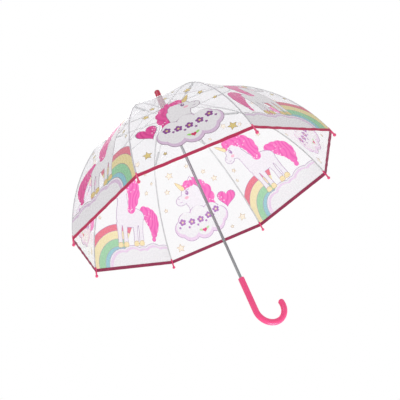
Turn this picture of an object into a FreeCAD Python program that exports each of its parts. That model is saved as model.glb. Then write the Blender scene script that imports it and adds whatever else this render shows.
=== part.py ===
"""Children's dome umbrella with a clear eight-panel canopy and a hook handle.

Millimetres, +Z up. The origin is on the shaft's axis at the height of the hook's lowest point, and the
hook opens towards +X. Rib 1 lies over +X and the ribs are numbered anticlockwise seen from above; panel 1
lies between ribs 1 and 2. The umbrella is modelled open.
"""
import FreeCAD
import Part
import Sketcher

import math
import os

DRIVING = {
    # canopy
    "rib_count": 8,
    "canopy_radius": 350,
    "rim_height": 335,
    "apex_height": 656,
    "film_thickness": 0.4,
    "film_lift": 1.4,
    "half_gap": 0.15,
    "hem_width": 8,
    "hem_thickness": 1.2,
    # ribs
    "rib_slope": 10.75,
    "rib_upper_radius": 246,
    "rib_upper_turn": 32.2,
    "rib_lower_turn": 32.6,
    "wire_radius": 1.1,
    "blade_length": 7,
    "blade_thickness": 1.2,
    "eye_radius": 1.6,
    "eye_bore": 0.55,
    "lug_along": 196,
    "lug_drop": 3,
    # stretchers
    "fork_length": 54,
    "fork_depth": 3,
    "fork_half_gap": 1.5,
    "cheek_thickness": 0.8,
    "rod_radius": 1,
    "rivet_radius": 1.2,
    "rivet_proud": 0.7,
    # shaft and hubs
    "shaft_radius": 3.5,
    "shaft_bore": 2.9,
    "shaft_bottom": 84,
    "shaft_top": 672,
    "crown_pivot": 623,
    "runner_pivot": 593,
    "ring_radius": 6.2,
    "ring_wire": 0.5,
    "hub_radius": 8.5,
    "hub_half_height": 7,
    "slot_width": 2,
    "slot_floor": 4.25,
    "neck_radius": 8.3,
    "neck_top": 653.4,
    "runner_bore": 3.65,
    "runner_bottom": 560,
    "sleeve_radius": 6.4,
    "keyway_width": 3.4,
    "keyway_reach": 5.55,
    "finial_radius": 7.3,
    "finial_bottom": 657.6,
    "finial_top": 680,
    "stop_radius": 0.75,
    "stop_reach": 5.2,
    # spring catches
    "catch_width": 2.4,
    "catch_reach": 5.1,
    "catch_nose": 8,
    "catch_leaf": 26,
    "leaf_thickness": 0.8,
    "top_catch_height": 545,
    "bottom_catch_height": 249,
    # rib tips
    "tip_radius": 2.2,
    "tip_overlap": 12,
    "ball_radius": 4,
    "ball_distance": 11.5,
    # handle
    "handle_radius": 7.5,
    "handle_top": 134,
    "hook_outer_radius": 40,
    "hook_outer_turn": 71,
    "hook_inner_radius": 34,
    "hook_inner_turn": 121,
}

doc = FreeCAD.newDocument("Umbrella")
sheet = doc.addObject("Spreadsheet::Sheet", "Dims")
for row, (word, number) in enumerate(DRIVING.items(), start=1):
    sheet.set("A%d" % row, word)
    sheet.set("B%d" % row, str(number))
    sheet.setAlias("B%d" % row, word)
doc.recompute()

X, Y, Z = FreeCAD.Vector(1, 0, 0), FreeCAD.Vector(0, 1, 0), FreeCAD.Vector(0, 0, 1)
ORIGIN = FreeCAD.Vector(0, 0, 0)
NO_TURN = FreeCAD.Rotation()
nodes = []


def size(text):
    """The value of an expression of the sheet's words."""
    return float(sheet.evalExpression(text))


def node(obj, name):
    """Mark an object as one sub-part, which is exported under this name."""
    obj.Label = name
    nodes.append(obj)
    return obj


def bind(obj, **texts):
    """Bind an object's properties to expressions of the sheet's words."""
    for name, text in texts.items():
        obj.setExpression(name, text)
    return obj


def place(obj, base=ORIGIN, rotation=NO_TURN):
    obj.Placement = FreeCAD.Placement(base, rotation)
    return obj


# ---------------------------------------------------------------- primitives, bound to the sheet
def cylinder(name, radius, height, base=ORIGIN, along=Z):
    obj = doc.addObject("Part::Cylinder", name)
    bind(obj, Radius=radius, Height=height)
    return place(obj, base, FreeCAD.Rotation(Z, along))


def crosswise(name, radius, width, base=ORIGIN):
    """A cylinder along Y, centred on the XZ plane."""
    return cylinder(name, radius, width, base - Y * (size(width) / 2), Y)


def block(name, length, width, height, base):
    """A box with its corner at base: length along X, width along Y, height along Z."""
    obj = doc.addObject("Part::Box", name)
    bind(obj, Length=length, Width=width, Height=height)
    return place(obj, base)


def fuse(name, *shapes):
    obj = doc.addObject("Part::MultiFuse", name)
    obj.Shapes = list(shapes)
    return obj


def cut(name, base, tool):
    obj = doc.addObject("Part::Cut", name)
    obj.Base, obj.Tool = base, tool
    return obj


def group(name, *shapes):
    obj = doc.addObject("Part::Compound", name)
    obj.Links = list(shapes)
    return obj


def fixed(name, shape):
    """A shape worked out below from the sheet's values."""
    obj = doc.addObject("Part::Feature", name)
    obj.Shape = shape
    return obj


# ---------------------------------------------------------------- sketches and PartDesign bodies
def new_body(name):
    return doc.addObject("PartDesign::Body", name)


def sketch_on(body, role, name):
    plane = next(f for f in body.Origin.OriginFeatures if f.Role == role)
    sketch = body.newObject("Sketcher::SketchObject", name)
    sketch.AttachmentSupport = [(plane, "")]
    sketch.MapMode = "FlatFace"
    return sketch


def pin_point(sketch, index, end, x, y):
    """Hold one end of a sketch line at two expressions of the sheet's words."""
    for kind, text, axis in (("DistanceX", x, -2), ("DistanceY", y, -1)):
        value = size(text)
        if abs(value) < 1e-9:
            sketch.addConstraint(Sketcher.Constraint("PointOnObject", index, end, axis))
            continue
        held = Sketcher.Constraint(kind, -1, 1, index, end, value)
        number = sketch.addConstraint(held)
        sketch.setExpression("Constraints[%d]" % number, text)


def outline(sketch, corners):
    """A closed outline of straight sides through corners given as expressions."""
    points = [FreeCAD.Vector(size(x), size(y), 0) for x, y in corners]
    count = len(points)
    first = sketch.GeometryCount
    for i in range(count):
        sketch.addGeometry(Part.LineSegment(points[i], points[(i + 1) % count]), False)
    for i, (x, y) in enumerate(corners):
        after = first + (i + 1) % count
        sketch.addConstraint(Sketcher.Constraint("Coincident", first + i, 2, after, 1))
        pin_point(sketch, first + i, 1, x, y)


def revolved(body, name, corners):
    """Turn an outline of (radius, height) corners about the shaft's axis."""
    sketch = sketch_on(body, "XZ_Plane", name + "Outline")
    outline(sketch, corners)
    feature = body.newObject("PartDesign::Revolution", name)
    feature.Profile = sketch
    feature.ReferenceAxis = (sketch, ["V_Axis"])
    feature.Angle = 360
    sketch.Visibility = False
    doc.recompute()
    return feature


def pocket(body, name, corners):
    """Cut an outline of (x, y) corners right through the body along Z."""
    sketch = sketch_on(body, "XY_Plane", name + "Outline")
    outline(sketch, corners)
    before = body.Shape.Volume
    feature = body.newObject("PartDesign::Pocket", name)
    feature.Profile = sketch
    feature.Type = "ThroughAll"
    feature.Midplane = True
    doc.recompute()
    if not body.Shape.Volume < before - 1:
        raise RuntimeError(name + " cut nothing")
    return feature


def polar(body, name, feature, count):
    """Repeat a feature about the shaft's axis."""
    pattern = body.newObject("PartDesign::PolarPattern", name)
    pattern.Originals = [feature]
    axis = next(f for f in body.Origin.OriginFeatures if f.Role == "Z_Axis")
    pattern.Axis = (axis, [""])
    pattern.Angle = 360
    pattern.setExpression("Occurrences", count)
    body.Tip = pattern
    doc.recompute()
    return pattern


def flat_edges(shape, height):
    """The numbers of the round edges that lie flat at a height."""
    found = []
    for number, edge in enumerate(shape.Edges, start=1):
        box = edge.BoundBox
        if box.ZLength < 0.01 and abs(box.ZMin - height) < 0.01 and box.XLength > 1:
            found.append(number)
    return found


# ---------------------------------------------------------------- the rib's curve, in its plane
def down(angle):
    """The direction that points outwards and down by an angle in degrees, as (radius, height)."""
    return math.cos(math.radians(angle)), -math.sin(math.radians(angle))


class RibCurve:
    """A straight run from the crown, then two arcs down to the rim, as centres, radii and slopes.

    The straight run's length and the lower arc's radius are the two that bring the rib's end to the rim.
    """

    def __init__(self):
        self.start = (size("Dims.ring_radius"), size("Dims.crown_pivot"))
        self.slopes = [size("Dims.rib_slope")]
        self.slopes.append(self.slopes[0] + size("Dims.rib_upper_turn"))
        self.slopes.append(self.slopes[1] + size("Dims.rib_lower_turn"))
        upper = size("Dims.rib_upper_radius")
        a, b, c = (math.radians(s) for s in self.slopes)
        out = size("Dims.canopy_radius - Dims.ring_radius") - upper * (math.sin(b) - math.sin(a))
        fall = size("Dims.crown_pivot - Dims.rim_height") - upper * (math.cos(a) - math.cos(b))
        across, drop = math.sin(c) - math.sin(b), math.cos(b) - math.cos(c)
        scale = math.cos(a) * drop - math.sin(a) * across
        self.straight = (out * drop - fall * across) / scale
        lower = (math.cos(a) * fall - math.sin(a) * out) / scale
        self.radii = [upper, lower]
        run, rise = down(self.slopes[0])
        bend = (self.start[0] + self.straight * run, self.start[1] + self.straight * rise)
        self.centres = [(bend[0] - upper * math.sin(a), bend[1] - upper * math.cos(a))]
        shift = upper - lower
        first = self.centres[0]
        self.centres.append((first[0] + shift * math.sin(b), first[1] + shift * math.cos(b)))

    def on_arc(self, arc, slope, lift=0.0):
        """The point of an arc where the rib slopes this much, lifted off the wire's centre line."""
        centre, reach = self.centres[arc], self.radii[arc] + lift
        angle = math.radians(slope)
        return centre[0] + reach * math.sin(angle), centre[1] + reach * math.cos(angle)

    def slope_at(self, along):
        """The slope on the upper arc at a distance measured along the rib from its pivot."""
        return self.slopes[0] + math.degrees((along - self.straight) / self.radii[0])


rib_curve = RibCurve()
panel_turn = 180 / size("Dims.rib_count")


def upright(point, shrink=1.0):
    """A (radius, height) point as a 3-D point of the XZ plane."""
    return FreeCAD.Vector(point[0] * shrink, 0, point[1])


def arc_edge(curve, arc, slope_from, slope_to, lift=0.0):
    angles = (slope_from, (slope_from + slope_to) / 2, slope_to)
    return Part.Arc(*(upright(curve.on_arc(arc, a, lift)) for a in angles)).toShape()


def beyond(point, slope, distance):
    """The point a distance further down a slope."""
    run, rise = down(slope)
    return point[0] + distance * run, point[1] + distance * rise


rim_slope = rib_curve.slopes[2]
rim_corner = rib_curve.on_arc(1, rim_slope)
lug_slope = rib_curve.slope_at(size("Dims.lug_along"))
lug_pivot = rib_curve.on_arc(0, lug_slope, -size("Dims.lug_drop"))
runner_eye = (size("Dims.ring_radius"), size("Dims.runner_pivot"))


# ---------------------------------------------------------------- what the ribs and stretchers share
def eye_end(name, pivot, slope):
    """A flat blade that starts in an eye round a ring wire, pointing down a slope from its pivot."""
    disc = crosswise(name + "Disc", "Dims.eye_radius", "Dims.blade_thickness")
    depth = "2 * Dims.wire_radius"
    corner = FreeCAD.Vector(0, -size("Dims.blade_thickness") / 2, -size("Dims.wire_radius"))
    blade = block(name + "Blade", "Dims.blade_length", "Dims.blade_thickness", depth, corner)
    bore = crosswise(name + "Bore", "Dims.eye_bore", "2 * Dims.blade_thickness")
    solid = cut(name, fuse(name + "Flat", disc, blade), bore)
    return place(solid, upright(pivot), FreeCAD.Rotation(Y, slope))


def around(obj, index, half=0.0):
    """Turn an object from +X to a rib's place round the shaft."""
    azimuth = (index - 1 + half) * 360 / size("Dims.rib_count")
    return place(obj, ORIGIN, FreeCAD.Rotation(Z, azimuth))


def make_ribs():
    """Bent wire ribs with an eye at the crown and a lug where the stretcher is riveted."""
    start = beyond(rib_curve.start, rib_curve.slopes[0], size("Dims.blade_length") - 0.5)
    bend = rib_curve.on_arc(0, rib_curve.slopes[0])
    buried = beyond(rim_corner, rim_slope, size("Dims.tip_overlap") / 2)
    edges = [
        Part.LineSegment(upright(start), upright(bend)).toShape(),
        arc_edge(rib_curve, 0, *rib_curve.slopes[:2]),
        arc_edge(rib_curve, 1, *rib_curve.slopes[1:]),
        Part.LineSegment(upright(rim_corner), upright(buried)).toShape(),
    ]
    spine = fixed("RibSpine", Part.Wire(edges))
    section = doc.addObject("Part::Circle", "RibSection")
    bind(section, Radius="Dims.wire_radius")
    facing = FreeCAD.Vector(*down(rib_curve.slopes[0]))
    place(section, upright(start), FreeCAD.Rotation(Z, FreeCAD.Vector(facing.x, 0, facing.y)))
    doc.recompute()
    wire = doc.addObject("Part::Sweep", "RibWire")
    wire.Sections = [section]
    wire.Spine = (spine, ["Edge%d" % (i + 1) for i in range(len(edges))])
    wire.Solid = True
    wire.Frenet = False
    eye = eye_end("RibEye", rib_curve.start, rib_curve.slopes[0])
    disc = crosswise("LugDisc", "Dims.eye_radius", "Dims.blade_thickness", upright(lug_pivot))
    side = size("Dims.wire_radius")
    corner = FreeCAD.Vector(-side, -size("Dims.blade_thickness") / 2, 0)
    web = block("LugWeb", "2 * Dims.wire_radius", "Dims.blade_thickness", "Dims.lug_drop", ORIGIN)
    turn = FreeCAD.Rotation(Y, lug_slope)
    place(web, upright(lug_pivot) + turn.multVec(corner), turn)
    for index in range(1, int(size("Dims.rib_count")) + 1):
        around(node(fuse("Rib%d" % index, wire, eye, disc, web), "rib_%d" % index), index)
    return wire


def make_tips(wire):
    """Ball-ended plastic tips pushed over the rib ends, which hold the canopy's corners."""
    start = beyond(rim_corner, rim_slope, -size("Dims.tip_overlap"))
    ball = beyond(rim_corner, rim_slope, size("Dims.ball_distance"))
    way = down(rim_slope)
    along = FreeCAD.Vector(way[0], 0, way[1])
    length = "Dims.tip_overlap + Dims.ball_distance"
    socket = cylinder("TipSocket", "Dims.tip_radius", length, upright(start), along)
    knob = doc.addObject("Part::Sphere", "TipBall")
    bind(knob, Radius="Dims.ball_radius")
    place(knob, upright(ball))
    body = fuse("TipBody", socket, knob)
    for index in range(1, int(size("Dims.rib_count")) + 1):
        around(node(cut("Tip%d" % index, body, wire), "rib_tip_%d" % index), index)


def make_stretchers():
    """Straight rods from the runner's ring to the lugs, with an open fork that straddles the rib."""
    across, rise = lug_pivot[0] - runner_eye[0], lug_pivot[1] - runner_eye[1]
    length = math.hypot(across, rise)
    slope = -math.degrees(math.atan2(rise, across))
    eye = eye_end("StretcherEye", (0, 0), 0)
    blade, fork = size("Dims.blade_length"), size("Dims.fork_length")
    gap, cheek = size("Dims.fork_half_gap"), size("Dims.cheek_thickness")
    half_depth = size("Dims.fork_depth") / 2
    overlap = 0.5
    rod_start = blade - overlap
    rod_end = length - fork + overlap
    rod = Part.makeCylinder(size("Dims.rod_radius"), rod_end - rod_start, X * rod_start, X)
    pieces = [eye, fixed("Rod", rod)]
    web_width = "2 * (Dims.fork_half_gap + Dims.cheek_thickness)"
    web_corner = FreeCAD.Vector(length - fork, -gap - cheek, -half_depth)
    pieces.append(block("ForkWeb", "Dims.fork_depth", web_width, "Dims.fork_depth", web_corner))
    heads = []
    for side, name in ((-1, "Right"), (1, "Left")):
        inner = gap if side > 0 else -gap - cheek
        corner = FreeCAD.Vector(length - fork, inner, -half_depth)
        cheek_sizes = ("Dims.fork_length", "Dims.cheek_thickness", "Dims.fork_depth")
        pieces.append(block(name + "Cheek", *cheek_sizes, corner))
        end = FreeCAD.Vector(length, inner, 0)
        pieces.append(cylinder(name + "CheekEnd", "Dims.fork_depth / 2", "Dims.cheek_thickness", end, Y))
        outer = gap + cheek if side > 0 else -gap - cheek - size("Dims.rivet_proud")
        head = FreeCAD.Vector(length, outer, 0)
        heads.append(cylinder(name + "Head", "Dims.rivet_radius", "Dims.rivet_proud", head, Y))
    for index in range(1, int(size("Dims.rib_count")) + 1):
        azimuth = FreeCAD.Rotation(Z, (index - 1) * 360 / size("Dims.rib_count"))
        base = azimuth.multVec(upright(runner_eye))
        turn = azimuth.multiply(FreeCAD.Rotation(Y, slope))
        place(node(fuse("Stretcher%d" % index, *pieces), "stretcher_%d" % index), base, turn)
        place(node(group("Rivet%d" % index, *heads), "joint_rivet_%d" % index), base, turn)


# ---------------------------------------------------------------- canopy
def film_layer(below, above, slope_end, slope_start=None):
    """A face in a panel's middle plane between two heights over the ribs' centre line.

    The outline follows the ribs and is drawn in by the panel's flatness. Without slope_start it begins at
    the apex with a straight run that meets the upper arc at a tangent.
    """
    centre, reach = rib_curve.centres[0], rib_curve.radii[0]
    middle = size("Dims.film_lift + Dims.film_thickness / 2")
    apex = (size("Dims.neck_radius") + 0.6, size("Dims.apex_height"))
    away = math.hypot(apex[0] - centre[0], apex[1] - centre[1])
    lean = math.degrees(math.atan2(apex[0] - centre[0], apex[1] - centre[1]))
    touch = lean + math.degrees(math.acos((reach + middle) / away))
    sides = []
    for lift in (below, above):
        if slope_start is None:
            tilt = math.radians(touch)
            rise = lift - middle
            top = (apex[0] + rise * math.sin(tilt), apex[1] + rise * math.cos(tilt))
            bottom = rib_curve.on_arc(0, touch, lift)
            knots = [Part.LineSegment(upright(top), upright(bottom)).toShape()]
            knots.append(arc_edge(rib_curve, 0, touch, rib_curve.slopes[1], lift))
            knots.append(arc_edge(rib_curve, 1, rib_curve.slopes[1], slope_end, lift))
        else:
            knots = [arc_edge(rib_curve, 1, slope_start, slope_end, lift)]
        sides.append(knots)
    first, last = sides[0][0].Vertexes[0].Point, sides[0][-1].Vertexes[-1].Point
    first_up, last_up = sides[1][0].Vertexes[0].Point, sides[1][-1].Vertexes[-1].Point
    ends = [Part.LineSegment(first, first_up).toShape(), Part.LineSegment(last, last_up).toShape()]
    face = Part.Face(Part.Wire(Part.__sortEdges__(sides[0] + sides[1] + ends)))
    squeeze = FreeCAD.Matrix()
    squeeze.A11 = math.cos(math.radians(panel_turn))
    return face.transformGeometry(squeeze)


def half_wedge(side):
    """The space of one half of a panel lying over +X: from its middle plane to its rib's plane."""
    gap, reach = size("Dims.half_gap"), size("1.2 * Dims.canopy_radius")
    lean = math.tan(math.radians(panel_turn))
    clear = gap / math.cos(math.radians(panel_turn))
    start = (gap + clear) / lean
    corners = [(start, gap), (reach, gap), (reach, reach * lean - clear)]
    points = [FreeCAD.Vector(x, side * y, 0) for x, y in corners]
    face = Part.Face(Part.makePolygon(points + points[:1]))
    return face.extrude(Z * size("Dims.finial_top"))


def make_canopy():
    """Sixteen half-panels of clear film, each with its stretch of fabric binding round the hem."""
    lift, thick = size("Dims.film_lift"), size("Dims.film_thickness")
    hem_slack = (size("Dims.hem_thickness") - thick) / 2
    lower = rib_curve.radii[1]
    hem_turn = math.degrees(size("Dims.hem_width") / lower)
    film_end = rim_slope - hem_turn / 2
    film_face = film_layer(lift, lift + thick, film_end)
    hem_face = film_layer(lift - hem_slack, lift + thick + hem_slack, rim_slope, rim_slope - hem_turn)
    width = size("Dims.canopy_radius")
    tip_way = down(rim_slope)
    along = FreeCAD.Vector(tip_way[0], 0, tip_way[1])
    tip_start = upright(beyond(rim_corner, rim_slope, -size("Dims.tip_overlap") - 1))
    reach = 4 * size("Dims.tip_overlap")
    clearance = Part.makeCylinder(size("Dims.tip_radius") + 0.4, reach, tip_start, along)
    for side, name in ((-1, "left"), (1, "right")):
        wedge = half_wedge(side)
        film_block = film_face.extrude(Y * side * width)
        hem_block = hem_face.extrude(Y * side * width)
        tip_space = clearance.copy()
        tip_space.rotate(ORIGIN, Z, side * panel_turn)
        film = fixed("Film_" + name, film_block.common(wedge).cut(tip_space))
        hem_shape = hem_block.common(wedge).cut(tip_space).cut(film.Shape)
        hem = fixed("Hem_" + name, hem_shape)
        for index in range(1, int(size("Dims.rib_count")) + 1):
            panel = group("Panel%d%s" % (index, name), film, hem)
            around(node(panel, "panel_%d_%s" % (index, name)), index, half=0.5)


# ---------------------------------------------------------------- shaft and what is fixed to it
def make_hubs():
    """The crown on the shaft's top and the runner that slides below it, each with slots and a ring wire."""
    half = "Dims.hub_half_height"
    slot = [
        ("Dims.slot_floor", "-Dims.slot_width / 2"),
        ("2 * Dims.hub_radius", "-Dims.slot_width / 2"),
        ("2 * Dims.hub_radius", "Dims.slot_width / 2"),
        ("Dims.slot_floor", "Dims.slot_width / 2"),
    ]
    bottom = "Dims.crown_pivot - " + half
    top = "Dims.crown_pivot + " + half
    crown = new_body("Crown")
    revolved(crown, "CrownHub", [
        ("Dims.shaft_radius", bottom),
        ("Dims.hub_radius", bottom),
        ("Dims.hub_radius", top),
        ("Dims.shaft_radius", top),
    ])
    slots = pocket(crown, "CrownSlot", slot)
    polar(crown, "CrownSlots", slots, "Dims.rib_count")
    revolved(crown, "CrownNeck", [
        ("Dims.shaft_radius", top),
        ("Dims.neck_radius", top),
        ("Dims.neck_radius", "Dims.neck_top"),
        ("Dims.shaft_radius", "Dims.neck_top"),
    ])
    runner = new_body("Runner")
    low = "Dims.runner_pivot - " + half
    revolved(runner, "RunnerHub", [
        ("Dims.runner_bore", low),
        ("Dims.hub_radius", low),
        ("Dims.hub_radius", "Dims.runner_pivot + " + half),
        ("Dims.runner_bore", "Dims.runner_pivot + " + half),
    ])
    slots = pocket(runner, "RunnerSlot", slot)
    polar(runner, "RunnerSlots", slots, "Dims.rib_count")
    revolved(runner, "RunnerSleeve", [
        ("Dims.runner_bore", "Dims.runner_bottom"),
        ("Dims.hub_radius", "Dims.runner_bottom"),
        ("Dims.hub_radius", "Dims.runner_bottom + 4"),
        ("Dims.sleeve_radius", "Dims.runner_bottom + 6"),
        ("Dims.sleeve_radius", low),
        ("Dims.runner_bore", low),
    ])
    keyway = fixed("Keyway", catch_space(size("Dims.keyway_width"), size("Dims.keyway_reach")))
    for body, pivot, name in ((crown, "crown_pivot", "crown"), (runner, "runner_pivot", "runner")):
        ring = doc.addObject("Part::Torus", name + "Ring")
        bind(ring, Radius1="Dims.ring_radius", Radius2="Dims.ring_wire")
        ring.setExpression("Placement.Base.z", "Dims." + pivot)
        grooved = cut(name + "Grooved", body, ring)
        if name == "runner":
            grooved = cut("RunnerKeyed", grooved, keyway)
        node(grooved, name)
        node(ring, name + "_ring")


def catch_space(width, reach):
    """A prism along the whole shaft on the side where the catches stand out, midway between two ribs."""
    tall = size("Dims.finial_top")
    prism = Part.makeBox(reach, width, tall, FreeCAD.Vector(0, -width / 2, 0))
    prism.rotate(ORIGIN, Z, panel_turn)
    return prism


def make_shaft():
    """A steel tube with a window for each catch."""
    tube = new_body("Tube")
    revolved(tube, "TubeWall", [
        ("Dims.shaft_bore", "Dims.shaft_bottom"),
        ("Dims.shaft_radius", "Dims.shaft_bottom"),
        ("Dims.shaft_radius", "Dims.shaft_top"),
        ("Dims.shaft_bore", "Dims.shaft_top"),
    ])
    windows = []
    for name in ("top", "bottom"):
        low = size("Dims.%s_catch_height" % name) + size("Dims.catch_leaf - Dims.catch_nose") - 1
        wide = size("Dims.catch_width") + 0.8
        opening = Part.makeBox(8, wide, size("Dims.catch_nose") + 2, FreeCAD.Vector(0, -wide / 2, low))
        opening.rotate(ORIGIN, Z, panel_turn)
        windows.append(fixed(name + "Window", opening))
    pin_hole = stop_pin_shape("StopHole")
    node(cut("Shaft", tube, fuse("ShaftOpenings", *windows, pin_hole)), "shaft")


def stop_pin_shape(name):
    """The pin across the shaft just above the runner, turned away from the catches."""
    height = size("Dims.runner_pivot + Dims.hub_half_height + Dims.stop_radius") + 0.4
    turn = FreeCAD.Rotation(Z, 90 + panel_turn)
    start = turn.multVec(X * -size("Dims.stop_reach")) + Z * height
    return cylinder(name, "Dims.stop_radius", "2 * Dims.stop_reach", start, turn.multVec(X))


def make_catches():
    """Leaf springs inside the tube, each hinged at its foot with a nose that stands out of a window."""
    bore, thick = size("Dims.shaft_bore"), size("Dims.leaf_thickness")
    face = bore - 0.45
    for name in ("top", "bottom"):
        foot = size("Dims.%s_catch_height" % name)
        head = foot + size("Dims.catch_leaf")
        nose = head - size("Dims.catch_nose")
        reach = size("Dims.catch_reach")
        side = [
            (face - thick, foot),
            (face, foot),
            (face, nose),
            (reach, nose + 4),
            (reach, head - 1),
            (face, head),
            (face - thick, head),
        ]
        points = [FreeCAD.Vector(x, -size("Dims.catch_width") / 2, z) for x, z in side]
        leaf = Part.Face(Part.makePolygon(points + points[:1])).extrude(Y * size("Dims.catch_width"))
        centre = points[0] + X * (thick / 2)
        pivot = Part.makeCylinder(thick / 2 + 0.2, size("Dims.catch_width"), centre, Y)
        shape = leaf.fuse(pivot).removeSplitter()
        shape.rotate(ORIGIN, Z, panel_turn)
        node(fixed(name + "Catch", shape), name + "_catch")


def make_finial():
    """The round-nosed cap on the shaft's top, and the washer that the film is clamped against."""
    cap = new_body("Cap")
    blunt = revolved(cap, "CapBody", [
        ("0", "Dims.finial_bottom"),
        ("Dims.finial_radius", "Dims.finial_bottom"),
        ("Dims.finial_radius", "Dims.finial_top"),
        ("0", "Dims.finial_top"),
    ])
    rim = flat_edges(blunt.Shape, size("Dims.finial_top"))
    rounding = cap.newObject("PartDesign::Fillet", "CapNose")
    rounding.Base = (blunt, ["Edge%d" % i for i in rim])
    rounding.setExpression("Radius", "0.62 * Dims.finial_radius")
    bore = cylinder("CapBore", "Dims.shaft_radius", "Dims.shaft_top - Dims.finial_bottom + 1",
                    Z * (size("Dims.finial_bottom") - 1))
    node(cut("Finial", cap, bore), "finial")
    washer = new_body("Washer")
    revolved(washer, "WasherDisc", [
        ("Dims.shaft_radius", "Dims.neck_top"),
        ("Dims.neck_radius", "Dims.neck_top"),
        ("Dims.neck_radius", "Dims.neck_top + 1"),
        ("Dims.shaft_radius", "Dims.neck_top + 1"),
    ])
    node(washer, "film_washer")
    node(stop_pin_shape("StopPin"), "stop_pin")


def make_handle():
    """The moulded grip: straight over the shaft's foot, then a hook of two arcs with a round end."""
    radius = size("Dims.handle_radius")
    outer, inner = size("Dims.hook_outer_radius"), size("Dims.hook_inner_radius")
    turn, rest = math.radians(size("Dims.hook_outer_turn")), math.radians(size("Dims.hook_inner_turn"))
    low_centre = radius + inner
    high_centre = low_centre + (outer - inner) * math.sin(turn)
    middle = FreeCAD.Vector(outer, 0, high_centre)
    second = middle + FreeCAD.Vector(-math.cos(turn), 0, -math.sin(turn)) * (outer - inner)

    def on_hook(centre, reach, angle):
        return centre + FreeCAD.Vector(-math.cos(angle), 0, -math.sin(angle)) * reach

    joint, end = on_hook(middle, outer, turn), on_hook(second, inner, turn + rest)
    top, bend = Z * size("Dims.handle_top"), Z * high_centre
    spine = Part.Wire([
        Part.LineSegment(top, bend).toShape(),
        Part.Arc(bend, on_hook(middle, outer, turn / 2), joint).toShape(),
        Part.Arc(joint, on_hook(second, inner, turn + rest / 2), end).toShape(),
    ])
    section = doc.addObject("Part::Circle", "GripSection")
    bind(section, Radius="Dims.handle_radius")
    section.setExpression("Placement.Base.z", "Dims.handle_top")
    doc.recompute()
    grip = doc.addObject("Part::Sweep", "Grip")
    grip.Sections = [section]
    grip.Spine = (fixed("GripSpine", spine), ["Edge1", "Edge2", "Edge3"])
    grip.Solid = True
    tip = doc.addObject("Part::Sphere", "HookEnd")
    bind(tip, Radius="Dims.handle_radius")
    place(tip, end)
    body = fuse("GripBody", grip, tip)
    depth = "Dims.handle_top - Dims.shaft_bottom + 1"
    bore = cylinder("GripBore", "Dims.shaft_radius", depth, Z * size("Dims.shaft_bottom"))
    doc.recompute()
    bored = cut("GripBored", body, bore)
    doc.recompute()
    softened = doc.addObject("Part::Fillet", "Handle")
    softened.Base = bored
    outer_rim = [
        i for i in flat_edges(bored.Shape, size("Dims.handle_top"))
        if bored.Shape.Edges[i - 1].BoundBox.XLength > 2 * radius - 0.1
    ]
    softened.Edges = [(i, 1.5, 1.5) for i in outer_rim]
    node(softened, "handle")


def write_parts():
    doc.recompute()
    for obj in doc.Objects:
        if {"Invalid", "Error"} & set(obj.State):
            raise RuntimeError("%s failed: %s" % (obj.Label, obj.State))
    os.makedirs("parts", exist_ok=True)
    for obj in nodes:
        if obj.Shape.isNull() or not obj.Shape.isValid() or not obj.Shape.Solids:
            raise RuntimeError("%s has a bad shape" % obj.Label)
        obj.Shape.exportStep("parts/%s.step" % obj.Label)
    print("%d sub-parts" % len(nodes))


make_shaft()
make_hubs()
make_finial()
make_catches()
make_handle()
rib_wire = make_ribs()
make_tips(rib_wire)
make_stretchers()
make_canopy()
write_parts()
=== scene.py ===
"""Looks of the children's dome umbrella: clear printed film, bound hem, steel frame and moulded plastic.

Lengths are in metres. The print is drawn in millimetres on the flat cut of one panel: x to the right seen
from outside, y up from the hem.
"""

import math

import bpy
import numpy as np
from mathutils import Matrix, Vector
from mathutils.geometry import delaunay_2d_cdt


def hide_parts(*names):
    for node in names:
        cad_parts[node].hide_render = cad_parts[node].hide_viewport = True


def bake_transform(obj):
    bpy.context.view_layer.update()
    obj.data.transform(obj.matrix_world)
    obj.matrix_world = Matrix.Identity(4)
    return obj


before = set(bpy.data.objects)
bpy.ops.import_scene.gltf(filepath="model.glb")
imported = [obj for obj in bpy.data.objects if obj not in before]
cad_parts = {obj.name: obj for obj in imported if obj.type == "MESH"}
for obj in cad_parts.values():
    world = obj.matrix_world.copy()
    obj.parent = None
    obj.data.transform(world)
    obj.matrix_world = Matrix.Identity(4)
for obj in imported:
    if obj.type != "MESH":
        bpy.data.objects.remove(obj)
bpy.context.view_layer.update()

MM = 0.001
PANELS = 8
HALF_PANEL = math.pi / PANELS  # half of one panel's angle round the shaft


# ---------------------------------------------------------------- camera, floor and light
def make_camera():
    """The photo's view, from a fit to the canopy's corners and tips, the shaft and the handle."""
    data = bpy.data.cameras.new("camera")
    data.sensor_width = 36
    data.lens = 79.65
    camera = bpy.data.objects.new("camera", data)
    bpy.context.scene.collection.objects.link(camera)
    forward = Vector((0.41256, 0.84063, 0.35091)).normalized()
    right = forward.cross(Vector((0.22654, -0.46781, 0.85431))).normalized()
    up = right.cross(forward)
    turn = Matrix((right, up, -forward)).transposed()
    camera.matrix_world = Matrix.Translation((-0.90742, -1.82003, -0.40625)) @ turn.to_4x4()
    bpy.context.scene.camera = camera


def area_light(name, place, aim, size, power):
    data = bpy.data.lights.new(name, "AREA")
    data.shape = "DISK"
    data.size = size
    data.energy = power
    lamp = bpy.data.objects.new(name, data)
    bpy.context.scene.collection.objects.link(lamp)
    lamp.location = place
    lamp.visible_camera = False
    lamp.rotation_euler = (Vector(aim) - Vector(place)).to_track_quat("-Z", "Y").to_euler()


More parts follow.
